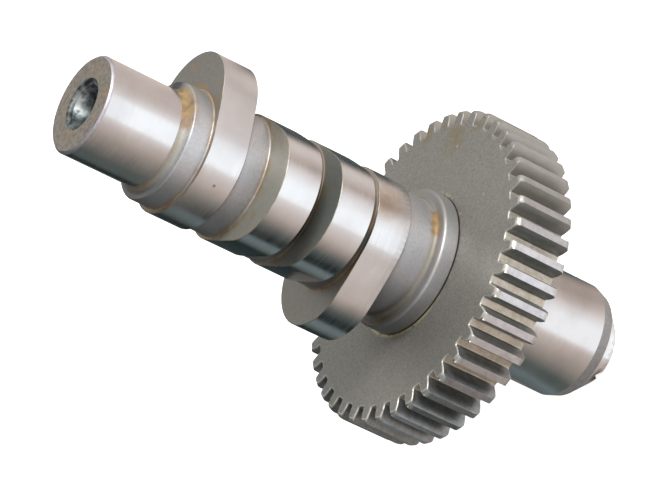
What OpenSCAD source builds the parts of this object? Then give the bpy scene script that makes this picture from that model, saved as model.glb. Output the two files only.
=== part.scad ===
// Camshaft with four ground lobes, and a timing gear pressed on against its large collar.
// Millimetres. The axis is +Z, and the shaft stands on its gear-side end at z = 0.
// Angles are seen from above, counter-clockwise from +X.

/* [Shaft] */
// Overall length of the shaft
shaft_length = 124; // [122:0.5:140]
// Diameter of the upper bearing journal
upper_journal_d = 20; // [16:0.1:20]
// Length of the upper journal, down to its fillet
upper_journal_length = 15.6; // [10:0.1:18]
// Chamfer at the upper end
upper_chamfer = 0.5; // [0.2:0.1:1]
// Fillet between the upper journal and its collar
journal_fillet = 1.5; // [0.5:0.1:1.5]
// Height of the upper collar's shoulder, above the upper journal
upper_shoulder = 2.1; // [2.1:0.05:2.8]
// Height of the large collar's shoulder, above the seat of the gear that stops at it
gear_shoulder = 2.15; // [2.1:0.05:3.5]
// Width of the large collar
gear_collar_width = 3.7; // [2:0.1:6]
// Length of the core between the large collar and the lowest lobe
collar_gap = 6.8; // [4:0.1:9]
// Rounding on the upper collar's edge
upper_collar_round = 0.4; // [0.2:0.1:0.4]
// Rounding on the large collar's upper edge
gear_collar_round = 0.7; // [0.2:0.1:0.9]
// Edge break on the large collar, beside the gear
collar_break = 0.4; // [0.1:0.05:0.6]
// Depth of the turned core below the base circle, beside the top lobe and below the lowest one
core_outer_drop = 0.7; // [0.5:0.05:2]
// Depth of the turned core below the base circle, between the other lobes
core_inner_drop = 0.4; // [0.4:0.05:2]
// Fillet at the foot of each lobe
lobe_fillet = 0.3; // [0.1:0.05:0.35]
// Fillet at the foot of the large collar
collar_fillet = 0.8; // [0.3:0.1:1.2]

/* [Lobes] */
// Diameter of the base circle
base_circle_d = 26; // [26:0.1:28]
// Lift above the base circle
lobe_lift = 7.4; // [5:0.1:9]
// Radius of the nose
nose_r = 11.7; // [8:0.1:12]
// Radius of the two flanks
flank_r = 110; // [60:5:200]
// Width of each lobe
lobe_width = 7.8; // [6:0.1:8.5]
// Height of the middle of the lowest lobe
first_lobe_height = 60.3; // [58:0.1:64]
// Distance between the two lobes of a pair
pair_pitch = 12.9; // [11.5:0.1:14]
// Distance between the two inner lobes
inner_pitch = 12.5; // [11.5:0.1:14]
// Direction of the top lobe's nose
top_lobe_angle = 22; // [-180:0.5:180]
// Direction of the two inner lobes' noses
inner_lobe_angle = -86.5; // [-180:0.5:180]
// Direction of the lowest lobe's nose
low_lobe_angle = 178; // [-180:0.5:180]

/* [Gear] */
// Number of teeth
tooth_count = 42; // [40:1:44]
// Module
gear_module = 1.5; // [1.4:0.01:1.6]
// Pressure angle
pressure_angle = 15; // [14.5:0.5:20]
// Fillet at the foot of each tooth
tooth_fillet = 0.4; // [0.2:0.05:0.5]
// Direction of the middle of one tooth gap
gap_angle = 11.9; // [-180:0.1:180]
// Width of the gear
gear_width = 13; // [10:0.1:14]
// Bevel on the two ends of the teeth
tooth_bevel = 0.7; // [0.2:0.05:1]
// Chamfer at both ends of the gear's bore
bore_chamfer = 0.5; // [0.2:0.1:0.8]
// How far the gear's seat rises above the lower journal, which the gear slides over
seat_rise = 0.5; // [0.2:0.05:1.5]
// How far the seat stops short of the gear's lower face
seat_setback = 1.2; // [0.8:0.1:2]
// Length of the lead-in cone below the seat
seat_lead = 0.8; // [0.3:0.1:1.2]
// Room between the seat and the gear's bore, none in a press fit
press_clearance = 0; // [0:0.01:0.05]

/* [Lower end] */
// Diameter of the lower bearing journal
lower_journal_d = 24; // [22.4:0.1:24]
// Depth of the grinding relief between the lower journal and the gear
relief_depth = 0.3; // [0.1:0.05:0.6]
// Length of that relief, down from the gear
relief_length = 1.9; // [1.2:0.1:3]
// Height where the lower journal's lead-in taper begins
taper_height = 7; // [6:0.1:9]
// Height where the taper meets the steep end cone
end_cone_height = 4.4; // [2:0.1:5]
// How far the taper narrows the journal on each side
taper_drop = 0.9; // [0.5:0.05:1.5]
// How far the steep end cone goes on narrowing it
cone_drop = 4; // [2:0.1:5]
// Width of the locating notch in the end
notch_width = 2; // [1:0.1:3]
// Depth of the notch, up from the end face
notch_depth = 2.2; // [1:0.1:3.5]
// Distance from the axis to the notch's inner end
notch_inner = 5.4; // [4.8:0.1:6]
// Direction of the notch
notch_angle = -121; // [-180:1:180]

/* [Lathe centres] */
// Diameter of the shallow countersink that guards the upper centre
guard_d = 10.6; // [10.4:0.1:12]
// Depth of that countersink
guard_depth = 0.8; // [0.4:0.1:0.8]
// Diameter of the upper end's centre cone
upper_centre_d = 8.6; // [6:0.1:8.8]
// Diameter of the lower end's centre cone
lower_centre_d = 8; // [4:0.1:8.6]
// Full angle of both cones
centre_angle = 60; // [60:5:90]
// Diameter of the small hole beyond each cone
pilot_d = 3.2; // [2:0.1:4]
// Depth of that hole, past the cone
pilot_depth = 3.5; // [2:0.1:6]

/* [Hidden] */
past = 1; // how far a cut runs past the surface it cuts
round_fn = 120;
flank_steps = 5;

lobe_heights = [
    first_lobe_height,
    first_lobe_height + pair_pitch,
    first_lobe_height + pair_pitch + inner_pitch,
    first_lobe_height + 2 * pair_pitch + inner_pitch
];
lobe_angles = [low_lobe_angle, inner_lobe_angle, inner_lobe_angle, top_lobe_angle];
half_lobe = lobe_width / 2;
base_r = base_circle_d / 2;
core_outer_r = base_r - core_outer_drop;
core_inner_r = base_r - core_inner_drop;

lower_journal_r = lower_journal_d / 2;
relief_r = lower_journal_r - relief_depth;
seat_r = lower_journal_r + seat_rise;
bore_r = seat_r + press_clearance;
gear_collar_r = max(seat_r, core_outer_r) + gear_shoulder;
upper_journal_r = upper_journal_d / 2;
upper_collar_r = upper_journal_r + upper_shoulder;
end_cone_r = lower_journal_r - taper_drop;
end_face_r = end_cone_r - cone_drop;

collar_top = first_lobe_height - half_lobe - collar_gap;
gear_top = collar_top - gear_collar_width;
gear_bottom = gear_top - gear_width;
seat_bottom = gear_bottom + seat_setback;
journal_foot = shaft_length - upper_journal_length;
upper_collar_top = journal_foot - journal_fillet;
journal_top = gear_bottom - relief_length;

// A lobe's outline is a base arc, two flank arcs and a nose arc that meet tangentially. Its nose points along +X.
nose_x = base_r + lobe_lift - nose_r;
flank_x = ((flank_r - base_r) ^ 2 - (flank_r - nose_r) ^ 2 + nose_x ^ 2) / (2 * nose_x);
flank_y = sqrt((flank_r - base_r) ^ 2 - flank_x ^ 2);
base_join = atan2(flank_y, -flank_x);
nose_join = atan2(flank_y, nose_x - flank_x);

pitch_r = gear_module * tooth_count / 2;
tip_r = pitch_r + gear_module;
root_r = pitch_r - 1.25 * gear_module;
involute_r = pitch_r * cos(pressure_angle);
tooth_step = 360 / tooth_count;

assert(nose_x > 0, "the nose is wider than the base circle allows");
assert(lobe_heights[3] + half_lobe < upper_collar_top, "the top lobe runs past its collar");
assert(journal_top > taper_height, "no room is left for the lower journal");

function turned(angle, r) = [r * cos(angle), r * sin(angle)];
function unwound(r) = let (a = acos(involute_r / r)) tan(a) * 180 / PI - a;
// Half of a tooth's angle at radius r: an involute, and radial below its base circle
function half_tooth(r) = tooth_step / 4 + unwound(pitch_r) - unwound(max(r, involute_r));
// One side of a tooth as [radius, half angle], from the root to just past the tip
function tooth_side() = concat(
    [for (a = [0 : 30 : 60])
        [
            root_r + tooth_fillet * (1 - cos(a)),
            half_tooth(root_r) + tooth_fillet * (1 - sin(a)) * 180 / PI / root_r
        ]],
    [[root_r + tooth_fillet, half_tooth(root_r)]],
    [for (i = [0 : flank_steps])
        let (r = involute_r + (tip_r + 0.15 - involute_r) * i / flank_steps) [r, half_tooth(r)]]
);

// Points on an arc round [r, z], with more of them on a larger one
function arc(r, z, size, from, to) =
    let (steps = 3 + floor(3 * size))
        [for (i = [0 : steps]) [r, z] + turned(from + (to - from) * i / steps, size)];
function fillet_below(r, z, size) = arc(r + size, z - size, size, 180, 90);
function fillet_above(r, z, size) = arc(r + size, z + size, size, 270, 180);
function rounded_top(r, z, size) = arc(r - size, z - size, size, 0, 90);

module turned_shaft() {
    radii = [core_outer_r, core_inner_r, core_inner_r, core_outer_r, upper_collar_r];
    rotate_extrude($fn = round_fn)
        polygon(concat(
            [
                [0, 0],
                [end_face_r, 0],
                [end_cone_r, end_cone_height],
                [lower_journal_r, taper_height],
                [lower_journal_r, journal_top],
                [relief_r, journal_top + relief_depth],
                [relief_r, seat_bottom - seat_lead],
                [seat_r, seat_bottom],
                [seat_r, gear_top],
                [gear_collar_r - collar_break, gear_top],
                [gear_collar_r, gear_top + collar_break]
            ],
            rounded_top(gear_collar_r, collar_top, gear_collar_round),
            fillet_above(radii[0], collar_top, collar_fillet),
            [for (i = [0 : 3]) each concat(
                fillet_below(radii[i], lobe_heights[i] - half_lobe, lobe_fillet),
                fillet_above(radii[i + 1], lobe_heights[i] + half_lobe, lobe_fillet)
            )],
            rounded_top(upper_collar_r, upper_collar_top, upper_collar_round),
            fillet_above(upper_journal_r, upper_collar_top, journal_fillet),
            [
                [upper_journal_r, shaft_length - upper_chamfer],
                [upper_journal_r - upper_chamfer, shaft_length],
                [0, shaft_length]
            ]
        ));
}

// The lobe's outline: base circle, flank, nose and the other flank
function lobe_outline() = concat(
    [for (a = [base_join : (360 - 2 * base_join) / 48 : 360.01 - base_join]) turned(a, base_r)],
    [for (i = [1 : 7]) [flank_x, flank_y] + turned(-base_join + (base_join - nose_join) * i / 8, flank_r)],
    [for (i = [0 : 40]) [nose_x, 0] + turned(nose_join * (i / 20 - 1), nose_r)],
    [for (i = [7 : -1 : 1]) [flank_x, -flank_y] + turned(base_join - (base_join - nose_join) * i / 8, flank_r)]
);

module lobe() {
    linear_extrude(lobe_width, center = true)
        polygon(lobe_outline());
}

// A 60 degree lathe centre with its pilot hole, opening towards +Z at z = 0
module lathe_centre(d) {
    depth = (d - pilot_d) / 2 / tan(centre_angle / 2);
    translate([0, 0, -depth])
        cylinder(h = depth, d1 = pilot_d, d2 = d, $fn = round_fn);
    translate([0, 0, -depth - pilot_depth])
        cylinder(h = pilot_depth, d = pilot_d, $fn = round_fn);
    translate([0, 0, -depth - pilot_depth - pilot_d / 4])
        cylinder(h = pilot_d / 4, d1 = 0, d2 = pilot_d, $fn = round_fn);
    cylinder(h = past, d = d, $fn = round_fn);
}

module camshaft() {
    color([0.62, 0.61, 0.6])
        difference() {
            union() {
                turned_shaft();
                for (i = [0 : 3])
                    translate([0, 0, lobe_heights[i]])
                        rotate([0, 0, lobe_angles[i]])
                            lobe();
            }
            translate([0, 0, shaft_length - guard_depth]) {
                lathe_centre(upper_centre_d);
                cylinder(h = guard_depth, d1 = guard_d - 2 * guard_depth, d2 = guard_d, $fn = round_fn);
            }
            rotate([180, 0, 0])
                lathe_centre(lower_centre_d);
            rotate([0, 0, notch_angle])
                translate([notch_inner, -notch_width / 2, -past])
                    cube([lower_journal_r, notch_width, notch_depth + past]);
        }
}

module gear_blank() {
    rotate_extrude($fn = round_fn)
        polygon([
            [bore_r + bore_chamfer, gear_bottom],
            [tip_r - tooth_bevel, gear_bottom],
            [tip_r, gear_bottom + tooth_bevel],
            [tip_r, gear_top - tooth_bevel],
            [tip_r - tooth_bevel, gear_top],
            [bore_r + bore_chamfer, gear_top],
            [bore_r, gear_top - bore_chamfer],
            [bore_r, gear_bottom + bore_chamfer]
        ]);
}

module gear_teeth() {
    side = tooth_side();
    last = len(side) - 1;
    translate([0, 0, gear_bottom - past])
        linear_extrude(gear_width + 2 * past)
            polygon([
                for (k = [0 : tooth_count - 1])
                    let (middle = gap_angle + (k + 0.5) * tooth_step)
                        for (i = [0 : 2 * last + 1])
                            let (p = side[i <= last ? i : 2 * last + 1 - i], way = i <= last ? -1 : 1)
                                turned(middle + way * p[1], p[0])
            ]);
}

module cam_gear() {
    color([0.5, 0.49, 0.47])
        intersection() {
            gear_blank();
            gear_teeth();
        }
}

camshaft();
cam_gear();
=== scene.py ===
import math
import bpy
import bmesh
from mathutils import Matrix, Vector


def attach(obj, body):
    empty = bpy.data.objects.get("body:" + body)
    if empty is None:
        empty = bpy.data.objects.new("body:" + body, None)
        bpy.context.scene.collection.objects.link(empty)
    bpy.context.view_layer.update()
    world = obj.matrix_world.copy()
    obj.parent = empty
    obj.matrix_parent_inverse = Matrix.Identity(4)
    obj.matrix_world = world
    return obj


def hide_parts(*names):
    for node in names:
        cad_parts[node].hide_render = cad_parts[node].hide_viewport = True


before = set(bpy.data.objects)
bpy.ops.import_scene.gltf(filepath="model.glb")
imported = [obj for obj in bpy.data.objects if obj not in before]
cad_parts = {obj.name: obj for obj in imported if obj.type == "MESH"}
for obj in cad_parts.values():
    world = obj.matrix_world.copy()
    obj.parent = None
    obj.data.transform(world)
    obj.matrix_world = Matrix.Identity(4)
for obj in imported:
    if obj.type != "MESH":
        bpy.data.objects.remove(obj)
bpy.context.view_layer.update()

mm = 0.001


def hexColour(code):
    # sRGB hex to the linear colour that a socket takes
    parts = [int(code[i:i + 2], 16) / 255 for i in (1, 3, 5)]
    return [c / 12.92 if c <= 0.04045 else ((c + 0.055) / 1.055) ** 2.4 for c in parts] + [1.0]


def addNode(tree, kind, inputs=None, **settings):
    # one node with its settings. An input is a value or another node's output, or the node itself,
    # and then its first output in use is linked
    node = tree.nodes.new(kind)
    for name, value in settings.items():
        setattr(node, name, value)
    for key, value in (inputs or {}).items():
        if isinstance(value, bpy.types.Node):
            value = next(output for output in value.outputs if output.enabled)
        if isinstance(value, bpy.types.NodeSocket):
            tree.links.new(value, node.inputs[key])
        else:
            node.inputs[key].default_value = value
    return node


def fillRamp(node, stops):
    # a stop is its position and a hex colour or a grey level
    ramp = node.color_ramp
    while len(ramp.elements) > 1:
        ramp.elements.remove(ramp.elements[-1])
    for i, (position, colour) in enumerate(stops):
        element = ramp.elements[0] if i == 0 else ramp.elements.new(position)
        element.position = position
        element.color = hexColour(colour) if isinstance(colour, str) else (colour, colour, colour, 1)


def newMaterial(name):
    material = bpy.data.materials.new(name)
    material.use_nodes = True
    tree = material.node_tree
    tree.nodes.clear()
    return material, tree


def perMetre(size):
    # the scale at which a pattern's features are this many mm wide
    return 1 / (size * mm)


def raggedPlace(tree, place, reach):
    # the place shaken by noise, so that a stain's border isn't a clean curve
    bayWidth = 1.429  # mm, a drop of oil creeps about as far
    shake = addNode(tree, "ShaderNodeTexNoise", {"Vector": place, "Scale": perMetre(bayWidth),
                                                 "Detail": 4.0})
    centred = addNode(tree, "ShaderNodeVectorMath", {0: shake.outputs["Color"], 1: (0.5, 0.5, 0.5)},
                      operation="SUBTRACT")
    return addNode(tree, "ShaderNodeVectorMath", {0: centred, 1: (reach * mm,) * 3, 2: place},
                   operation="MULTIPLY_ADD")


def fadeAlong(tree, place, axis, start, full, within=1.0):
    # nothing at one place along an axis, and all of within at the other
    apart = addNode(tree, "ShaderNodeSeparateXYZ", {0: place})
    return addNode(tree, "ShaderNodeMapRange", {"Value": apart.outputs[axis], "From Min": start * mm,
                                                "From Max": full * mm, "To Min": 0.0, "To Max": within})


def fadeOutward(tree, place, full, end, within=1.0):
    # all of within up to one radius round the shaft's axis, and nothing from the other
    level = addNode(tree, "ShaderNodeVectorMath", {0: place, 1: (1, 1, 0)}, operation="MULTIPLY")
    outward = addNode(tree, "ShaderNodeVectorMath", {0: level}, operation="LENGTH")
    return addNode(tree, "ShaderNodeMapRange", {"Value": outward, "From Min": full * mm,
                                                "From Max": end * mm, "To Min": within, "To Max": 0.0})


def spotStains(tree, place, spots):
    # round stains, full in the middle and faded out at their reach
    fullShare = 0.35
    total = None
    for x, y, z, reach, strength in spots:
        away = addNode(tree, "ShaderNodeVectorMath", {0: place, 1: (x * mm, y * mm, z * mm)},
                       operation="DISTANCE")
        spot = addNode(tree, "ShaderNodeMapRange", {"Value": away, "From Min": fullShare * reach * mm,
                                                    "From Max": reach * mm, "To Min": strength,
                                                    "To Max": 0.0})
        if total is None:
            total = spot
        else:
            total = addNode(tree, "ShaderNodeMath", {0: total, 1: spot}, operation="MAXIMUM")
    return total


def ringStains(tree, place, rings):
    # stains that run round the shaft
    length = shaft["length"]
    height = addNode(tree, "ShaderNodeSeparateXYZ", {0: place}).outputs["Z"]
    share = addNode(tree, "ShaderNodeMath", {0: height, 1: length * mm}, operation="DIVIDE")
    ramp = addNode(tree, "ShaderNodeValToRGB", {"Fac": share})
    stops = [(0.0, 0.0)]
    for middle, half, strength in rings:
        stops.append(((middle - half) / length, 0.0))
        stops.append((middle / length, strength))
        stops.append(((middle + half) / length, 0.0))
    fillRamp(ramp, stops)
    return ramp


def patches(tree, place, pattern, within=1.0, detail=4.0):
    # blotches of a noise, which fade in between two of its levels up to within
    size, start, full = pattern
    noise = addNode(tree, "ShaderNodeTexNoise", {"Vector": place, "Scale": perMetre(size),
                                                 "Detail": detail})
    return addNode(tree, "ShaderNodeMapRange", {"Value": noise, "From Min": start, "From Max": full,
                                                "To Min": 0.0, "To Max": within})


def grained(tree, place, grain, colours):
    # a noise as wide as the grain, and the finish's colours on it
    size, detail = grain
    noise = addNode(tree, "ShaderNodeTexNoise", {"Vector": place, "Scale": perMetre(size),
                                                 "Detail": detail})
    ramp = addNode(tree, "ShaderNodeValToRGB", {"Fac": noise})
    fillRamp(ramp, colours)
    return noise, ramp


def toolMarks(tree, place, marks):
    # streaks round the shaft, as a wheel or a lathe tool leaves them
    streak, spacing, detail = marks
    scale = (perMetre(streak), perMetre(streak), perMetre(spacing))
    stretched = addNode(tree, "ShaderNodeMapping", {"Vector": place, "Scale": scale})
    return addNode(tree, "ShaderNodeTexNoise", {"Vector": stretched, "Scale": 1.0, "Detail": detail})


def layered(tree, colour, layers):
    # lays colours over one another, each by its own amount; 6 and 7 are the mix's two colours
    for amount, over in layers:
        if isinstance(over, str):
            over = hexColour(over)
        colour = addNode(tree, "ShaderNodeMix", {0: amount, 6: colour, 7: over}, data_type="RGBA")
    return colour


def finishMaterial(tree, colour, metallic, roughness, height, relief):
    depth, strength = relief
    bump = addNode(tree, "ShaderNodeBump", {"Height": height, "Strength": strength, "Distance": depth * mm})
    shader = addNode(tree, "ShaderNodeBsdfPrincipled", {"Base Color": colour, "Metallic": metallic,
                                                        "Roughness": roughness, "Normal": bump})
    addNode(tree, "ShaderNodeOutputMaterial", {"Surface": shader})


# The shaft: its sizes, then each finish with the stains that the photograph shows on it and with painted
# light and shade, all in mm.
# A grain is a width and the noise's detail, drawn about ten times as wide as steel's own so that it shows.
# Marks are a length, a spacing and a detail. A relief is a depth and a strength. Patches are a size and the
# noise levels where they start and are full. A spot is x, y, z, reach and strength, and a ring is a height,
# half a width and a strength. What is ragged says how far, in mm, a stain's border strays.
shaft = {
    "length": 124.0,
    "lobeMiddles": [60.3, 73.2, 85.7, 98.6],
    "lobeWidth": 7.8,
    "baseRadius": 13.0,
    "journalFoot": 108.4,
    "seatBottom": 34.1,
    "taperHeight": 7.0,
    "coneHeight": 4.4,
    "notchDepth": 2.2,
    "faceRadius": 9.5,
    "centreRadius": 5.32,
    "lobeEdgeBreak": 0.12,
    "slack": 0.01,  # how far off a drawn height a face may lie
    "ground": {
        "marks": (20.0, 0.4167, 3.0),  # real grinding marks are hundredths of a millimetre apart
        "clouds": (9.09, 4.0),  # as wide as the polish is even
        "colours": [(0.35, "#cbcacb"), (0.6, "#d6d6d7")],
        "metallic": 1.0,
        "roughness": (0.16, 0.25),
        "roughLevels": (0.35, 0.65),  # the marks' noise levels that get the first and the second roughness
        "relief": (0.003, 0.35),
        "stain": "#a3854f",
        "stainRagged": 2.5,
        "stainSpots": [(9.29, -9.08, 62.2, 2.0, 0.55), (8.2, -10.1, 63.2, 4.4, 0.45),
                       (9.9, -8.4, 61.0, 4.0, 0.4)],
        "speck": "#4a4643",
        "speckSpots": [(-3.05, -12.63, 98.35, 0.42, 0.65)],
        # painted shade: the notch's edges on the ground journal darkened near black
        "notchShade": "#1b1917",
        "notchSpots": [(-4.1, -8.4, 2.6, 2.2, 0.97), (-3.6, -8.3, 2.2, 1.8, 0.95)],
    },
    "turned": {
        "marks": (16.67, 0.3333, 2.0),  # the real feed is about 0.1 mm, too fine to show
        "grain": (0.4545, 2.0),
        "colours": [(0.3, "#b2b2b4"), (0.7, "#c0bfc2")],
        "metallic": (0.7, 0.25),  # bare and stained
        "metalLevels": (0.1, 0.9),  # how much stain counts as bare and as stained
        "roughness": (0.40, 0.48),
        "roughLevels": (0.3, 0.7),
        "relief": (0.006, 0.25),
        "stain": "#a3854f",
        "deepStain": "#80592b",
        "deepPatches": (2.0, 0.4, 0.65),
        "stainRagged": 1.4,
        "stainSpots": [
            (10.0, -2.2, 107.8, 2.8, 0.9), (9.3, -4.3, 107.6, 2.8, 0.85), (8.4, -6.1, 107.5, 2.8, 0.85),
            (7.1, -7.7, 107.5, 2.8, 0.85), (5.5, -9.0, 107.5, 2.5, 0.7),
            (10.6, -6.9, 50.2, 1.4, 0.8), (9.8, -7.9, 50.2, 1.5, 0.9), (8.8, -8.9, 50.2, 1.6, 0.9),
            (7.6, -10.0, 50.2, 1.5, 0.8),
        ],
        "cornerPatches": (6.25, 0.35, 0.6),
        "cornerRagged": 0.5,
        "cornerRings": [
            (49.9, 0.9, 0.25), (56.2, 0.6, 0.7), (64.4, 0.7, 0.5), (69.1, 0.7, 0.7), (77.3, 0.7, 0.5),
            (81.6, 0.7, 0.8), (89.8, 0.7, 0.8), (94.5, 0.6, 0.4), (102.7, 0.7, 0.8), (107.9, 0.7, 0.6),
        ],
        "lowSide": (-3.0, -12.0),  # where the low side's painted shade starts and is full, along X; corner stains also fill in there
        # painted shade: the turned steel darker and greyer on the low side, away from the light
        "lowSideShade": "#5f625f",
        "lowSideShadeStrength": 0.75,
        "highSide": (7.0, 12.5, 0.5),  # along X, where painted shade greys the lit side and where it is greyest, and how much
        "highSideShade": "#8f8d85",
        "filletFilm": "#98927f",
        "filletRings": [(50.3, 1.0, 0.7), (107.75, 1.0, 0.9)],
        "filletLessMetal": 0.35,
        "filletRougher": 0.22,
        # painted shade: dark brown lines along the fillets, on the low side only
        "lowFilletShade": "#3d3128",
        "lowFilletShadeRings": [(50.8, 1.3, 0.75), (107.15, 0.4, 0.9), (108.15, 0.4, 0.9)],
        "filletShade": "#2c2f2c",
        "shadeSpots": [(10.6, 2.6, 107.6, 4.4, 0.92)],
        # painted shade: the narrow grooves between lobes darkened dark brown, deepest towards one side
        "grooveShade": "#54463a",
        "grooveShadeRings": [(64.9, 2.6, 1.0), (77.8, 2.6, 1.0)],
        "grooveLessMetal": 0.6,
        "grooveSideShade": "#302e2b",
        "grooveShadeSide": (9.0, 3.0),  # where the grooves' painted shade darkens further, starting and then full, along X
        "rimShade": "#50504e",  # painted shade, between the large collar's fillet and its rounded rim
        "rimShadeRings": [(49.72, 0.4, 0.85)],
    },
    "side": {
        "grain": (0.6667, 3.0),
        "colours": [(0.3, "#7a766e"), (0.7, "#8d8981")],
        "metallic": 0.4,
        "roughness": 0.5,
        "relief": (0.01, 0.35),
        # painted light and shade: each lobe side's tone set by its height, lighter or darker as light
        # reaches it
        "paintedSideTones": [((64.2, 1.5, 0.6), "#98948c"), ((77.1, 1.5, 0.7), "#727a77"),
                  ((89.6, 1.5, 0.6), "#99968a"), ((102.5, 1.5, 0.6), "#6d6963")],
        "stain": "#8f7850",
        "speckPatches": (2.381, 0.56, 0.72),
        "speckStrength": 0.45,
        "footPatches": (2.0, 0.4, 0.6),
        "foot": (12.9, 14.0, 0.9),  # radii where the core's stain is full and ends, and its strength
    },
    "end": {
        "grain": (0.7692, 4.0),
        "colours": [(0.3, "#6c655c"), (0.5, "#827b70"), (0.7, "#938c80")],
        "metallic": 0.7,
        "roughness": 0.48,
        "relief": (0.012, 0.4),
        "stain": "#a87f52",
        "stainRagged": 3.0,
        "stainPatches": (1.111, 0.35, 0.6),
        "stainSpots": [(-2.8, 4.6, 124, 1.3, 0.8), (-4.8, 0.3, 123.7, 1.6, 0.7), (3.8, -7.0, 124, 2.2, 0.4),
                       (6.4, 0.5, 124, 2.5, 0.35), (-6.3, -0.5, 124, 1.8, 0.5)],
        "pink": "#96837c",
        "pinkPatches": (2.632, 0.52, 0.7),
        "pinkStrength": 0.5,
    },
    "centre": {
        "grain": (1.923, 3.0),  # pools of oil, as wide as they are
        "colours": [(0.4, "#2e3536"), (0.52, "#525958"), (0.62, "#777d7e"), (0.72, "#414845")],
        "metallic": 0.8,
        "roughness": 0.46,
        "relief": (0.02, 0.4),
        # painted reflection: a lighter, mottled grey patch on the cone's upper side
        "paintedGlint": "#b4b6b4",
        "paintedGlintPatches": (1.25, 0.38, 0.55),
        "paintedGlintRagged": 1.6,
        "paintedGlintSpots": [(0.2, 3.9, 122.7, 2.9, 0.85)],
        # painted shade: darker deeper in the hole
        "deepShade": "#22292a",
        "deepRange": (1.6, 3.6),  # how far below the end face the painted shade starts and is full
        "deepShadeStrength": 0.85,
    },
    # the short taper below the journal, left as turned: flat mid grey
    "dullTaper": {"grain": (0.6667, 3.0), "colours": [(0.3, "#83807e"), (0.7, "#93918f")],
                  "metallic": 0.2, "roughness": 0.5, "relief": (0.008, 0.3)},
    # the notch in the end: painted shade, near black and soft, darkening its recess
    "shadedNotch": {"grain": (1.111, 2.0), "colours": [(0.3, "#161412"), (0.7, "#2a2623")],
                    "metallic": 0.0, "roughness": 0.35, "relief": (0.02, 0.4)},
    # the chamfer at the journal's end, turned last: bright, with a lilac cast
    "turnedChamfer": {"grain": (0.6667, 2.0), "colours": [(0.3, "#b0aab0"), (0.7, "#c2bdc3")],
                      "metallic": 0.9, "roughness": 0.5, "relief": (0.008, 0.3)},
    # the lobes' broken edges, rubbed by the followers here and there: thin bright lines
    "burnishedEdge": {"grain": (1.667, 3.0), "colours": [(0.35, "#8a806e"), (0.6, "#a8a298")],
                      "metallic": 0.9, "roughness": 0.42, "relief": (0.006, 0.3)},
}


def groundSteel():
    # hardened steel ground between centres: a soft mirror, whose grinding rings only show where it darkens
    finish = shaft["ground"]
    material, tree = newMaterial("groundSteel")
    place = addNode(tree, "ShaderNodeTexCoord").outputs["Object"]
    grind = toolMarks(tree, place, finish["marks"])
    colour = grained(tree, place, finish["clouds"], finish["colours"])[1]
    colour = layered(tree, colour, [
        (spotStains(tree, raggedPlace(tree, place, finish["stainRagged"]), finish["stainSpots"]),
         finish["stain"]),
        (spotStains(tree, place, finish["speckSpots"]), finish["speck"]),
        # the notch spots are painted shade
        (spotStains(tree, place, finish["notchSpots"]), finish["notchShade"]),
    ])
    low, high = finish["roughLevels"]
    smooth, rough = finish["roughness"]
    uneven = addNode(tree, "ShaderNodeMapRange", {"Value": grind, "From Min": low, "From Max": high,
                                                  "To Min": smooth, "To Max": rough})
    finishMaterial(tree, colour, finish["metallic"], uneven, grind, finish["relief"])
    return material


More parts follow.
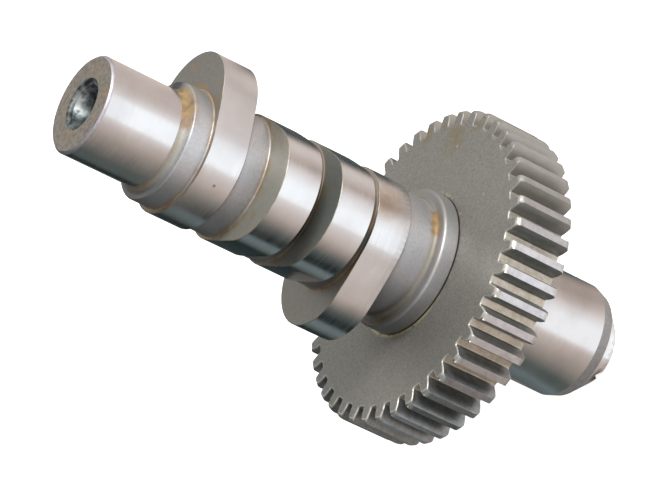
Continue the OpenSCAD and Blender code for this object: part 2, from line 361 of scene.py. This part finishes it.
def turnedSteel():
    # core and collars, lathe-turned and never ground: matte lilac grey, with gold-brown stains in corners;
    # painted shade darkens the low side, the grooves and the fillets' lines, and greys the lit side
    finish = shaft["turned"]
    material, tree = newMaterial("turnedSteel")
    place = addNode(tree, "ShaderNodeTexCoord").outputs["Object"]
    feed = toolMarks(tree, place, finish["marks"])
    grain, colour = grained(tree, place, finish["grain"], finish["colours"])
    lowSide = fadeAlong(tree, place, "X", *finish["lowSide"])
    blotches = patches(tree, place, finish["cornerPatches"])
    blotches = addNode(tree, "ShaderNodeMath", {0: blotches, 1: lowSide}, operation="MAXIMUM")
    corners = ringStains(tree, raggedPlace(tree, place, finish["cornerRagged"]), finish["cornerRings"])
    corners = addNode(tree, "ShaderNodeMath", {0: corners, 1: blotches}, operation="MULTIPLY")
    spots = spotStains(tree, raggedPlace(tree, place, finish["stainRagged"]), finish["stainSpots"])
    stain = addNode(tree, "ShaderNodeMath", {0: corners, 1: spots}, operation="MAXIMUM")
    deep = patches(tree, place, finish["deepPatches"])
    stainColour = layered(tree, hexColour(finish["stain"]), [(deep, finish["deepStain"])])
    dull = ringStains(tree, place, finish["filletRings"])
    paintedShading = ringStains(tree, place, finish["grooveShadeRings"])
    lowFilletShading = ringStains(tree, place, finish["lowFilletShadeRings"])
    colour = layered(tree, colour, [
        (dull, finish["filletFilm"]),
        # painted shade in the grooves, deeper towards one side
        (paintedShading, finish["grooveShade"]),
        (fadeAlong(tree, place, "X", *finish["grooveShadeSide"], paintedShading), finish["grooveSideShade"]),
        # painted shade on the low side
        (fadeAlong(tree, place, "X", *finish["lowSide"], finish["lowSideShadeStrength"]), finish["lowSideShade"]),
        # painted shade greys the lit side
        (fadeAlong(tree, place, "X", *finish["highSide"]), finish["highSideShade"]),
        # painted shade in the step beside the collar's rim
        (ringStains(tree, place, finish["rimShadeRings"]), finish["rimShade"]),
        # painted shade along the fillets on the low side
        (fadeAlong(tree, place, "X", *finish["lowSide"], lowFilletShading), finish["lowFilletShade"]),
        (stain, stainColour),
        (spotStains(tree, place, finish["shadeSpots"]), finish["filletShade"]),
    ])
    # stains, the fillets' film and the grooves' painted shade cover the metal, and the fillets' film is also
    # rougher
    low, high = finish["metalLevels"]
    bare, stained = finish["metallic"]
    metal = addNode(tree, "ShaderNodeMapRange", {"Value": stain, "From Min": low, "From Max": high,
                                                 "To Min": bare, "To Max": stained})
    metal = addNode(tree, "ShaderNodeMath", {0: dull, 1: -finish["filletLessMetal"], 2: metal},
                    operation="MULTIPLY_ADD")
    metal = addNode(tree, "ShaderNodeMath", {0: paintedShading, 1: -finish["grooveLessMetal"], 2: metal},
                    operation="MULTIPLY_ADD")
    low, high = finish["roughLevels"]
    smooth, rough = finish["roughness"]
    uneven = addNode(tree, "ShaderNodeMapRange", {"Value": feed, "From Min": low, "From Max": high,
                                                  "To Min": smooth, "To Max": rough})
    uneven = addNode(tree, "ShaderNodeMath", {0: dull, 1: finish["filletRougher"], 2: uneven},
                     operation="MULTIPLY_ADD")
    finishMaterial(tree, colour, metal, uneven, grain, finish["relief"])
    return material


def lobeSide():
    # lobe sides, turned and left dull by the hardening: khaki grey with brown specks towards the shaft, and
    # each side lightened or darkened by its height as painted light and shade
    finish = shaft["side"]
    material, tree = newMaterial("heatTreatedSide")
    place = addNode(tree, "ShaderNodeTexCoord").outputs["Object"]
    grain, colour = grained(tree, place, finish["grain"], finish["colours"])
    foot = patches(tree, place, finish["footPatches"], fadeOutward(tree, place, *finish["foot"]))
    specks = patches(tree, place, finish["speckPatches"], finish["speckStrength"])
    stain = addNode(tree, "ShaderNodeMath", {0: specks, 1: foot}, operation="MAXIMUM")
    paintedSideTones = [(ringStains(tree, place, [ring]), paintedShading) for ring, paintedShading in finish["paintedSideTones"]]
    colour = layered(tree, colour, paintedSideTones + [(stain, finish["stain"])])
    finishMaterial(tree, colour, finish["metallic"], finish["roughness"], grain, finish["relief"])
    return material


def facedEnd():
    # the end face: turned, then stained brown by handling and old oil
    finish = shaft["end"]
    material, tree = newMaterial("facedEnd")
    place = addNode(tree, "ShaderNodeTexCoord").outputs["Object"]
    grain, colour = grained(tree, place, finish["grain"], finish["colours"])
    spots = spotStains(tree, raggedPlace(tree, place, finish["stainRagged"]), finish["stainSpots"])
    colour = layered(tree, colour, [
        (patches(tree, place, finish["stainPatches"], spots), finish["stain"]),
        (patches(tree, place, finish["pinkPatches"], finish["pinkStrength"]), finish["pink"]),
    ])
    finishMaterial(tree, colour, finish["metallic"], finish["roughness"], grain, finish["relief"])
    return material


def oiledCentre():
    # the lathe centre: a reamed cone, wet with dark oil, so it mirrors in patches; a painted reflection
    # lightens its upper side and painted shade darkens it deeper in
    finish = shaft["centre"]
    material, tree = newMaterial("oiledCentre")
    place = addNode(tree, "ShaderNodeTexCoord").outputs["Object"]
    wet, colour = grained(tree, place, finish["grain"], finish["colours"])
    paintedGlint = spotStains(tree, raggedPlace(tree, place, finish["paintedGlintRagged"]), finish["paintedGlintSpots"])
    middle = shaft["length"] / 2
    height = addNode(tree, "ShaderNodeSeparateXYZ", {0: place}).outputs["Z"]
    offset = addNode(tree, "ShaderNodeMath", {0: height, 1: middle * mm}, operation="SUBTRACT")
    away = addNode(tree, "ShaderNodeMath", {0: offset}, operation="ABSOLUTE")
    start, full = finish["deepRange"]
    deep = addNode(tree, "ShaderNodeMapRange", {"Value": away, "From Min": (middle - start) * mm,
                                                "From Max": (middle - full) * mm, "To Min": 0.0,
                                                "To Max": finish["deepShadeStrength"]})
    colour = layered(tree, colour, [
        # painted reflection on the cone's upper side
        (patches(tree, place, finish["paintedGlintPatches"], paintedGlint), finish["paintedGlint"]),
        # painted shade deeper in the hole
        (deep, finish["deepShade"]),
    ])
    finishMaterial(tree, colour, finish["metallic"], finish["roughness"], wet, finish["relief"])
    return material


def evenFinish(name):
    # a finish without stains, the same all over but for its grain
    finish = shaft[name]
    material, tree = newMaterial(name)
    place = addNode(tree, "ShaderNodeTexCoord").outputs["Object"]
    grain, colour = grained(tree, place, finish["grain"], finish["colours"])
    finishMaterial(tree, colour, finish["metallic"], finish["roughness"], grain, finish["relief"])
    return material


def workingCopy(node):
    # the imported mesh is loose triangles, so a copy is merged and its flat faces are joined again
    mergeDistance = 0.002 * mm
    flatAngle = math.radians(0.4)
    mesh = bmesh.new()
    mesh.from_mesh(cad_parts[node].data)
    bmesh.ops.remove_doubles(mesh, verts=mesh.verts, dist=mergeDistance)
    bmesh.ops.dissolve_limit(mesh, angle_limit=flatAngle, verts=mesh.verts, edges=mesh.edges)
    mesh.normal_update()
    return mesh


def makePiece(mesh, name, materials, node):
    sharpAngle = math.radians(32)  # below a chamfer's 45 degrees and above a fillet's steps
    data = bpy.data.meshes.new(name)
    mesh.to_mesh(data)
    mesh.free()
    for material in materials:
        data.materials.append(material)
    data.shade_smooth()
    data.set_sharp_from_angle(angle=sharpAngle)
    piece = bpy.data.objects.new(name, data)
    bpy.context.scene.collection.objects.link(piece)
    weighted = piece.modifiers.new("evenShading", "WEIGHTED_NORMAL")
    weighted.keep_sharp = True
    weighted.weight = 100  # long walls stay true beside their small fillets
    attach(piece, "root")
    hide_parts(node)


def radius(point):
    # in mm from the shaft's axis
    return math.hypot(point.x, point.y) / mm


def edgeMiddle(edge):
    return (edge.verts[0].co + edge.verts[1].co) / 2


def breakEdges(mesh, edges, width, material, segments=1):
    edges = [edge for edge in edges if edge.is_valid]
    bmesh.ops.bevel(mesh, geom=edges, offset=width * mm, offset_type="OFFSET", segments=segments,
                    profile=0.5, affect="EDGES", material=material, clamp_overlap=True)
    mesh.normal_update()


def onLobe(z):
    half = shaft["lobeWidth"] / 2 + shaft["slack"]
    return any(abs(z - middle) < half for middle in shaft["lobeMiddles"])


def shaftFinish(face):
    # a face's finish, from where its middle is and from how flat it lies: 1 is level and 0 upright
    centre = face.calc_center_median()
    z, r, flat = centre.z / mm, radius(centre), abs(face.normal.z)
    slack = shaft["slack"]
    if onLobe(z):
        return "side" if flat > 0.9 else "ground"
    if z < slack or z > shaft["length"] - slack:
        return "end"
    if r < shaft["centreRadius"] and (z < shaft["seatBottom"] or z > shaft["journalFoot"]):
        return "centre"
    if z < shaft["notchDepth"] + slack and (flat < 0.05 or flat > 0.95):
        return "notch"
    if z > shaft["journalFoot"] - slack:
        return "chamfer" if flat > 0.3 and r > shaft["faceRadius"] - 0.1 else "ground"
    if shaft["coneHeight"] < z < shaft["taperHeight"]:
        return "taper"
    return "ground" if z < shaft["seatBottom"] else "turned"


def lobeRim(edge):
    # a square edge on the outline of a lobe's side, and not where the side meets the core
    low, high = sorted(abs(face.normal.z) for face in edge.link_faces)
    middle = edgeMiddle(edge)
    outside = onLobe(middle.z / mm) and radius(middle) > shaft["baseRadius"] - 0.2
    return high > 0.95 and low < 0.1 and outside


def makeShaft():
    mesh = workingCopy("camshaft")
    materials = {
        "ground": groundSteel(),
        "turned": turnedSteel(),
        "side": lobeSide(),
        "edge": evenFinish("burnishedEdge"),
        "end": facedEnd(),
        "centre": oiledCentre(),
        "chamfer": evenFinish("turnedChamfer"),
        "taper": evenFinish("dullTaper"),
        "notch": evenFinish("shadedNotch"),
    }
    slots = {name: i for i, name in enumerate(materials)}
    brightRims, grooveRims = [], []  # the rims over the two narrow grooves take the lobe sides' darker finish
    for edge in mesh.edges:
        if lobeRim(edge):
            z = edgeMiddle(edge).z / mm
            overGroove = any(0 < middle - z < shaft["lobeWidth"] for middle in shaft["lobeMiddles"][1:3])
            (grooveRims if overGroove else brightRims).append(edge)
    for face in mesh.faces:
        face.material_index = slots[shaftFinish(face)]
    breakEdges(mesh, brightRims, shaft["lobeEdgeBreak"], slots["edge"])
    breakEdges(mesh, grooveRims, shaft["lobeEdgeBreak"], slots["side"])
    makePiece(mesh, "camshaftBody", list(materials.values()), "camshaft")


# The gear: its sizes and finishes, in the same terms as the shaft's
gear = {
    "tipRadius": 33.0,
    "rootRadius": 29.63,
    "collarRadius": 14.25,
    "bottom": 32.9,
    "top": 45.9,
    "toothBevel": 0.7,
    "flankBreak": 0.14,
    "endBreak": 0.28,
    "endSteps": 3,
    "noseRound": 0.48,
    "noseSteps": 4,
    "face": {
        "grain": (0.3846, 3.0),  # shot-blasting pits are about 0.1 mm wide, too fine to show
        "colours": [(0.3, "#7c7972"), (0.5, "#8b8881"), (0.72, "#97948d")],
        "metallic": 0.6,
        "roughness": 0.52,
        "relief": (0.006, 0.25),
        "stain": "#867654",
        "stainPatches": (1.667, 0.3, 0.55),
        "stainRagged": 3.0,
        "stainSpots": [(25.9, 6.6, 45.9, 4.2, 0.75), (24.5, 17.0, 45.9, 2.6, 0.7),
                       (30.1, 0.8, 45.9, 2.0, 0.7), (27.6, 12.0, 45.9, 2.2, 0.35),
                       (29.0, -6.0, 45.9, 1.8, 0.3)],
        "dot": "#c2bdb2",
        "dotSpots": [(24.6, 4.4, 45.9, 0.35, 0.8), (18.0, -12.9, 45.9, 0.35, 0.6)],
        "crumb": "#cbbd97",
        "crumbPatches": (1.111, 0.56, 0.64),
        "crumbReach": (15.0, 15.7, 0.5),  # radii where the crumbs are full and end, and their strength
        "heapPatches": (0.9091, 0.37, 0.46),
        "heapReach": (15.0, 15.5),
        "heapSide": (-2.0, -8.0),  # where they start to heap up and are thickest, along X
        # painted shade: a dark ring in the crevice where the face meets the collar
        "creviceShade": "#24211d",
        "creviceReach": (0.35, 0.6),  # outwards from the collar
        "creviceStrength": 0.85,
    },
    "toothGrain": (1.429, 3.0),  # patches of tint from the hardening, as wide as they are
    "toothRelief": (0.008, 0.3),
    "toothSpeck": "#56585a",
    "speckPatches": (0.3846, 0.5, 0.3),  # where the noise is lowest, drawn coarser than real pits
    "highSideTone": (12.0, 26.0),  # along X, where the high-side tone starts and where it is full: painted light on the flanks, darker and duller on the other surfaces
    "highSideStrength": 0.7,
    "highSideMetallic": 0.35,
    "teeth": {
        # cut by the hob, dark where they face down; their tan is painted light on the high side
        "flank": {"material": "hobbedFlank", "colours": [(0.32, "#868888"), (0.66, "#999b99")],
                  "tan": "#a9a298", "metallic": 0.85, "roughness": 0.38, "specks": 0.35},
        # outside diameter, turned bright
        "land": {"material": "turnedLand", "colours": [(0.32, "#b6b3b5"), (0.66, "#c8c5c7")],
                 "tan": "#7e7974", "metallic": 0.9, "roughness": 0.34, "specks": 0.12},
        # tooth ends, rounded and rubbed bright
        "nose": {"material": "roundedNose", "colours": [(0.32, "#aeaba5"), (0.66, "#c2bfbb")],
                 "tan": "#7e7974", "metallic": 0.8, "roughness": 0.45, "specks": 0.1},
        # rims of the gaps, rounded but left dull, their colour lightened as a painted highlight
        "end": {"material": "tumbledEnd", "colours": [(0.32, "#a8a59d"), (0.66, "#cbc8bf")],
                "tan": "#7e7974", "metallic": 0.7, "roughness": 0.42, "specks": 0.15},
        # the deburred edge, a thin light line along each tooth: bare metal, its colour lightened as a
        # painted highlight
        "edge": {"material": "deburredEdgeHighlight", "colours": [(0.32, "#b7ae9d"), (0.66, "#dcd8cf")],
                 "tan": "#7e7974", "metallic": 0.9, "roughness": 0.38, "specks": 0.1},
        # gap floors, which keep a gold tint from the hardening
        "root": {"material": "tintedRoot", "colours": [(0.32, "#b3a897"), (0.66, "#cbc2b4")],
                 "tan": "#7e7974", "metallic": 0.85, "roughness": 0.42, "specks": 0.2},
    },
}


def gearFace():
    # the gear's turned and shot-blasted sides: even grey, finely speckled, browner towards the teeth, with
    # painted shade in the crevice by the collar
    finish = gear["face"]
    material, tree = newMaterial("blastedGearSteel")
    place = addNode(tree, "ShaderNodeTexCoord").outputs["Object"]
    grain, colour = grained(tree, place, finish["grain"], finish["colours"])
    spots = spotStains(tree, raggedPlace(tree, place, finish["stainRagged"]), finish["stainSpots"])
    strewn = fadeOutward(tree, place, *finish["crumbReach"])
    strewn = patches(tree, place, finish["crumbPatches"], strewn)
    heaped = fadeAlong(tree, place, "X", *finish["heapSide"])
    heaped = fadeOutward(tree, place, *finish["heapReach"], heaped)
    heaped = patches(tree, place, finish["heapPatches"], heaped)
    near, far = (gear["collarRadius"] + reach for reach in finish["creviceReach"])
    colour = layered(tree, colour, [
        (patches(tree, place, finish["stainPatches"], spots), finish["stain"]),
        (spotStains(tree, place, finish["dotSpots"]), finish["dot"]),
        (addNode(tree, "ShaderNodeMath", {0: strewn, 1: heaped}, operation="MAXIMUM"), finish["crumb"]),
        # painted shade in the crevice
        (fadeOutward(tree, place, near, far, finish["creviceStrength"]), finish["creviceShade"]),
    ])
    finishMaterial(tree, colour, finish["metallic"], finish["roughness"], grain, finish["relief"])
    return material


def toothSteel(finish):
    # hardened tooth surfaces: each as its entry above says, with fine dark specks, and on the high side its
    # tan: painted light on the flanks, a darker tone elsewhere
    material, tree = newMaterial(finish["material"])
    place = addNode(tree, "ShaderNodeTexCoord").outputs["Object"]
    tint, colour = grained(tree, place, gear["toothGrain"], finish["colours"])
    # painted light: the high side's tone
    highSideTone = fadeAlong(tree, place, "X", *gear["highSideTone"], gear["highSideStrength"])
    colour = layered(tree, colour, [
        (patches(tree, place, gear["speckPatches"], finish["specks"], detail=2.0), gear["toothSpeck"]),
        (highSideTone, finish["tan"]),
    ])
    metal = addNode(tree, "ShaderNodeMapRange", {"Value": highSideTone, "From Min": 0.0,
                                                 "From Max": gear["highSideStrength"],
                                                 "To Min": finish["metallic"],
                                                 "To Max": gear["highSideMetallic"]})
    finishMaterial(tree, colour, metal, finish["roughness"], tint, gear["toothRelief"])
    return material


def gearFinish(face):
    # a face's finish, from its radius and from where it looks
    centre = face.calc_center_median()
    r, flat = radius(centre), abs(face.normal.z)
    if flat > 0.95 or r < gear["rootRadius"] - 1:
        return "face"
    if flat > 0.4:
        return "nose"
    if abs(face.normal.xy.normalized().dot(centre.xy.normalized())) > 0.9:
        return "land" if r > gear["tipRadius"] - 0.3 else "root"
    return "flank"


def noseRim(edge):
    # a level edge at the top or bottom of the bevel on a tooth's end
    bevel, near = gear["toothBevel"], 0.02
    low, high = sorted(vert.co.z / mm for vert in edge.verts)
    outside = min(radius(vert.co) for vert in edge.verts) > gear["tipRadius"] - bevel - 0.05
    heights = [gear["bottom"], gear["bottom"] + bevel, gear["top"] - bevel, gear["top"]]
    level = high - low < near and min(abs(low - height) for height in heights) < near
    return outside and level and edge.calc_face_angle(0) > 0.3


def makeGear():
    mesh = workingCopy("cam_gear")
    materials = {"face": gearFace()}
    for name, finish in gear["teeth"].items():
        materials[name] = toothSteel(finish)
    slots = {name: i for i, name in enumerate(materials)}
    for face in mesh.faces:
        face.material_index = slots[gearFinish(face)]
    flankEdges, endEdges = [], []
    for edge in mesh.edges:
        kinds = {face.material_index for face in edge.link_faces}
        atTooth = radius(edgeMiddle(edge)) >= gear["rootRadius"] - 0.2
        if atTooth and len(kinds) > 1 and edge.calc_face_angle(0) >= 0.5:
            if slots["face"] in kinds:
                endEdges.append(edge)
            elif slots["flank"] in kinds:
                flankEdges.append(edge)
    breakEdges(mesh, endEdges, gear["endBreak"], slots["end"], gear["endSteps"])
    breakEdges(mesh, flankEdges, gear["flankBreak"], slots["edge"])
    noseEdges = [edge for edge in mesh.edges if noseRim(edge)]
    breakEdges(mesh, noseEdges, gear["noseRound"], slots["nose"], gear["noseSteps"])
    makePiece(mesh, "timingGear", list(materials.values()), "cam_gear")


# The studio, in metres: a pale floor, soft lamps, and toned card that only shows in the object's polish
studio = {
    "floorSize": 6.0,
    "floorHeight": -0.0002,
    "floorColour": "#f4f4f4",
    "floorGlow": 0.85,
    "roomLight": 0.3,  # how strongly the white room lights the object
    "roomSeen": 1.0,  # and how bright it looks itself
    "lamps": {
        "key": {"place": (0.95, -0.6, 0.85), "size": 0.6, "watts": 18.0},
        "fill": {"place": (-0.9, -0.3, 0.7), "size": 0.8, "watts": 2.8},
    },
    "lampsAimAt": (0, 0, 0.06),
    "darkCards": {
        "sideCard": {"place": (-0.35, 0.1, 0.5), "turn": (0, math.pi / 2, 0), "stretch": (1, 1, 1)},
        "backCard": {"place": (0, 0.6, 0.1), "turn": (math.pi / 2, 0, 0), "stretch": (1.6, 0.2, 1)},
    },
    "cardRadius": 1.5,
    "cardStrength": 1.5,
    "tones": {
        "window": "#f6f9fc", "paper": "#ebebec", "haze": "#d9d3d2", "chalk": "#cac0ba",
        "plaster": "#bdb0a9", "clay": "#a3978e", "umber": "#7d766f", "slate": "#4e5552",
        "mist": "#656f71", "night": "#343c3e", "ink": "#1c2424",
    },
    # azimuth in turns from -Y towards -X, and the tone of the card there
    "nearCard": [
        (0.0, "haze"), (0.02, "plaster"), (0.07, "clay"), (0.13, "umber"), (0.18, "slate"), (0.22, "slate"),
        (0.26, "mist"), (0.34, "slate"), (0.42, "umber"), (0.47, "haze"), (0.52, "haze"), (0.56, "umber"),
        (0.6, "ink"), (0.64, "slate"), (0.67, "umber"), (0.72, "clay"), (0.78, "clay"), (0.83, "plaster"),
        (0.87, "haze"), (0.91, "paper"), (0.975, "paper"),
    ],
    "card": [
        (0.0, "haze"), (0.04, "chalk"), (0.075, "plaster"), (0.105, "clay"), (0.135, "umber"),
        (0.165, "slate"), (0.195, "night"), (0.215, "ink"), (0.25, "ink"), (0.265, "mist"), (0.3, "mist"),
        (0.34, "slate"), (0.37, "ink"), (0.41, "ink"), (0.45, "night"), (0.595, "night"), (0.64, "umber"),
        (0.67, "plaster"), (0.7, "chalk"), (0.73, "chalk"), (0.765, "plaster"), (0.8, "clay"),
        (0.82, "plaster"), (0.85, "haze"), (0.895, "paper"), (0.92, "window"), (0.965, "window"),
    ],
    "farCard": [
        (0.0, "haze"), (0.05, "plaster"), (0.11, "clay"), (0.195, "umber"), (0.27, "slate"), (0.33, "slate"),
        (0.38, "ink"), (0.41, "ink"), (0.45, "slate"), (0.52, "umber"), (0.56, "plaster"), (0.78, "plaster"),
        (0.82, "chalk"), (0.855, "haze"), (0.88, "window"), (0.98, "window"),
    ],
    "nearReach": (0.045, 0.075),  # how far out one card gives way to the next
    "farReach": (0.206, 0.214),
    # the photograph's own viewpoint, found from the ellipses of its round edges
    "camera": {
        "place": (-0.003933, -0.675571, 0.429053),
        "forward": (0, 0.87981, -0.47533),
        "right": (0.43442, -0.42813, -0.79245),
        "lens": 218.5,
        "sensor": 36,
        "clip": (0.01, 20),
    },
}


def seenDirectly(tree):
    # 1 for what the camera sees, also in a mirror or through glass, and 0 for what lights the object
    light = addNode(tree, "ShaderNodeLightPath").outputs
    direct = addNode(tree, "ShaderNodeMath", {0: light["Is Camera Ray"], 1: light["Is Glossy Ray"]},
                     operation="MAXIMUM")
    return addNode(tree, "ShaderNodeMath", {0: direct, 1: light["Is Transmission Ray"]}, operation="MAXIMUM")


def makeFloor():
    bpy.ops.mesh.primitive_plane_add(size=studio["floorSize"], location=(0, 0, studio["floorHeight"]))
    floor = bpy.context.object
    floor.name = "paleFloor"
    material, tree = newMaterial("paleFloor")
    matte = addNode(tree, "ShaderNodeBsdfDiffuse", {"Color": hexColour(studio["floorColour"])})
    glow = addNode(tree, "ShaderNodeEmission", {"Color": hexColour("#ffffff"),
                                                "Strength": studio["floorGlow"]})
    both = addNode(tree, "ShaderNodeAddShader", {0: matte, 1: glow})
    surface = addNode(tree, "ShaderNodeMixShader", {0: seenDirectly(tree), 1: matte, 2: both})
    addNode(tree, "ShaderNodeOutputMaterial", {"Surface": surface})
    floor.data.materials.append(material)


def onlyReflected(card):
    card.visible_camera = False
    card.visible_diffuse = False
    card.visible_shadow = False
    card.visible_transmission = False


def makeDarkCards():
    # upright dark cards beside and behind the shaft, which shade the edges of the turned core
    material, tree = newMaterial("darkCard")
    glow = addNode(tree, "ShaderNodeEmission", {"Color": hexColour(studio["tones"]["night"])})
    addNode(tree, "ShaderNodeOutputMaterial", {"Surface": glow})
    material.cycles.emission_sampling = "NONE"
    for name, card in studio["darkCards"].items():
        bpy.ops.mesh.primitive_plane_add(size=1.0, location=card["place"], rotation=card["turn"])
        upright = bpy.context.object
        upright.name = name
        upright.scale = card["stretch"]
        upright.data.materials.append(material)
        onlyReflected(upright)


def makeTonedCard():
    # a level disc round the shaft's foot, toned by direction and in three zones by distance
    mesh = bmesh.new()
    bmesh.ops.create_circle(mesh, cap_ends=True, radius=studio["cardRadius"], segments=64)
    data = bpy.data.meshes.new("studioCards")
    mesh.to_mesh(data)
    mesh.free()
    card = bpy.data.objects.new("studioCards", data)
    bpy.context.scene.collection.objects.link(card)
    material, tree = newMaterial("studioCard")
    place = addNode(tree, "ShaderNodeTexCoord").outputs["Object"]
    facing = addNode(tree, "ShaderNodeVectorMath", {0: place, 1: (-1, -1, 1)}, operation="MULTIPLY")
    sides = addNode(tree, "ShaderNodeSeparateXYZ", {0: facing}).outputs
    angle = addNode(tree, "ShaderNodeMath", {0: sides["X"], 1: sides["Y"]}, operation="ARCTAN2")
    turns = addNode(tree, "ShaderNodeMath", {0: angle, 1: 2 * math.pi}, operation="DIVIDE")
    wrapped = addNode(tree, "ShaderNodeMath", {0: turns, 1: 1.0, 2: 0.0}, operation="WRAP")
    zones = {}
    for zone in ("nearCard", "card", "farCard"):
        zones[zone] = addNode(tree, "ShaderNodeValToRGB", {"Fac": wrapped})
        fillRamp(zones[zone], [(turn, studio["tones"][tone]) for turn, tone in studio[zone]])
    away = addNode(tree, "ShaderNodeVectorMath", {0: place}, operation="LENGTH")
    layers = []
    for zone, (start, end) in (("card", studio["nearReach"]), ("farCard", studio["farReach"])):
        amount = addNode(tree, "ShaderNodeMapRange", {"Value": away, "From Min": start, "From Max": end})
        layers.append((amount, zones[zone]))
    colour = layered(tree, zones["nearCard"], layers)
    glow = addNode(tree, "ShaderNodeEmission", {"Color": colour, "Strength": studio["cardStrength"]})
    addNode(tree, "ShaderNodeOutputMaterial", {"Surface": glow})
    material.cycles.emission_sampling = "NONE"
    data.materials.append(material)
    onlyReflected(card)


def makeLights():
    for name, lamp in studio["lamps"].items():
        data = bpy.data.lights.new(name, "AREA")
        data.size = lamp["size"]
        data.energy = lamp["watts"]
        light = bpy.data.objects.new(name, data)
        light.location = lamp["place"]
        toObject = Vector(studio["lampsAimAt"]) - light.location
        light.rotation_euler = toObject.to_track_quat("-Z", "Y").to_euler()
        bpy.context.scene.collection.objects.link(light)
    world = bpy.data.worlds.new("softRoom")
    bpy.context.scene.world = world
    world.use_nodes = True
    tree = world.node_tree
    tree.nodes.clear()
    strength = addNode(tree, "ShaderNodeMapRange", {"Value": seenDirectly(tree),
                                                    "To Min": studio["roomLight"],
                                                    "To Max": studio["roomSeen"]})
    sky = addNode(tree, "ShaderNodeBackground", {"Color": hexColour("#ffffff"), "Strength": strength})
    addNode(tree, "ShaderNodeOutputWorld", {"Surface": sky})


def makeCamera():
    view = studio["camera"]
    data = bpy.data.cameras.new("photoCamera")
    data.lens = view["lens"]
    data.sensor_width = view["sensor"]
    data.clip_start, data.clip_end = view["clip"]
    camera = bpy.data.objects.new("photoCamera", data)
    forward = Vector(view["forward"]).normalized()
    right = Vector(view["right"]).normalized()
    up = right.cross(forward).normalized()
    turn = Matrix((right, up, -forward)).transposed().to_4x4()
    camera.matrix_world = Matrix.Translation(Vector(view["place"])) @ turn
    bpy.context.scene.collection.objects.link(camera)
    bpy.context.scene.camera = camera


makeCamera()
makeFloor()
makeTonedCard()
makeDarkCards()
makeLights()
print("studio ready")
makeShaft()
print("shaft finished")
makeGear()
print("gear finished")

bpy.context.scene.view_settings.view_transform = "Standard"
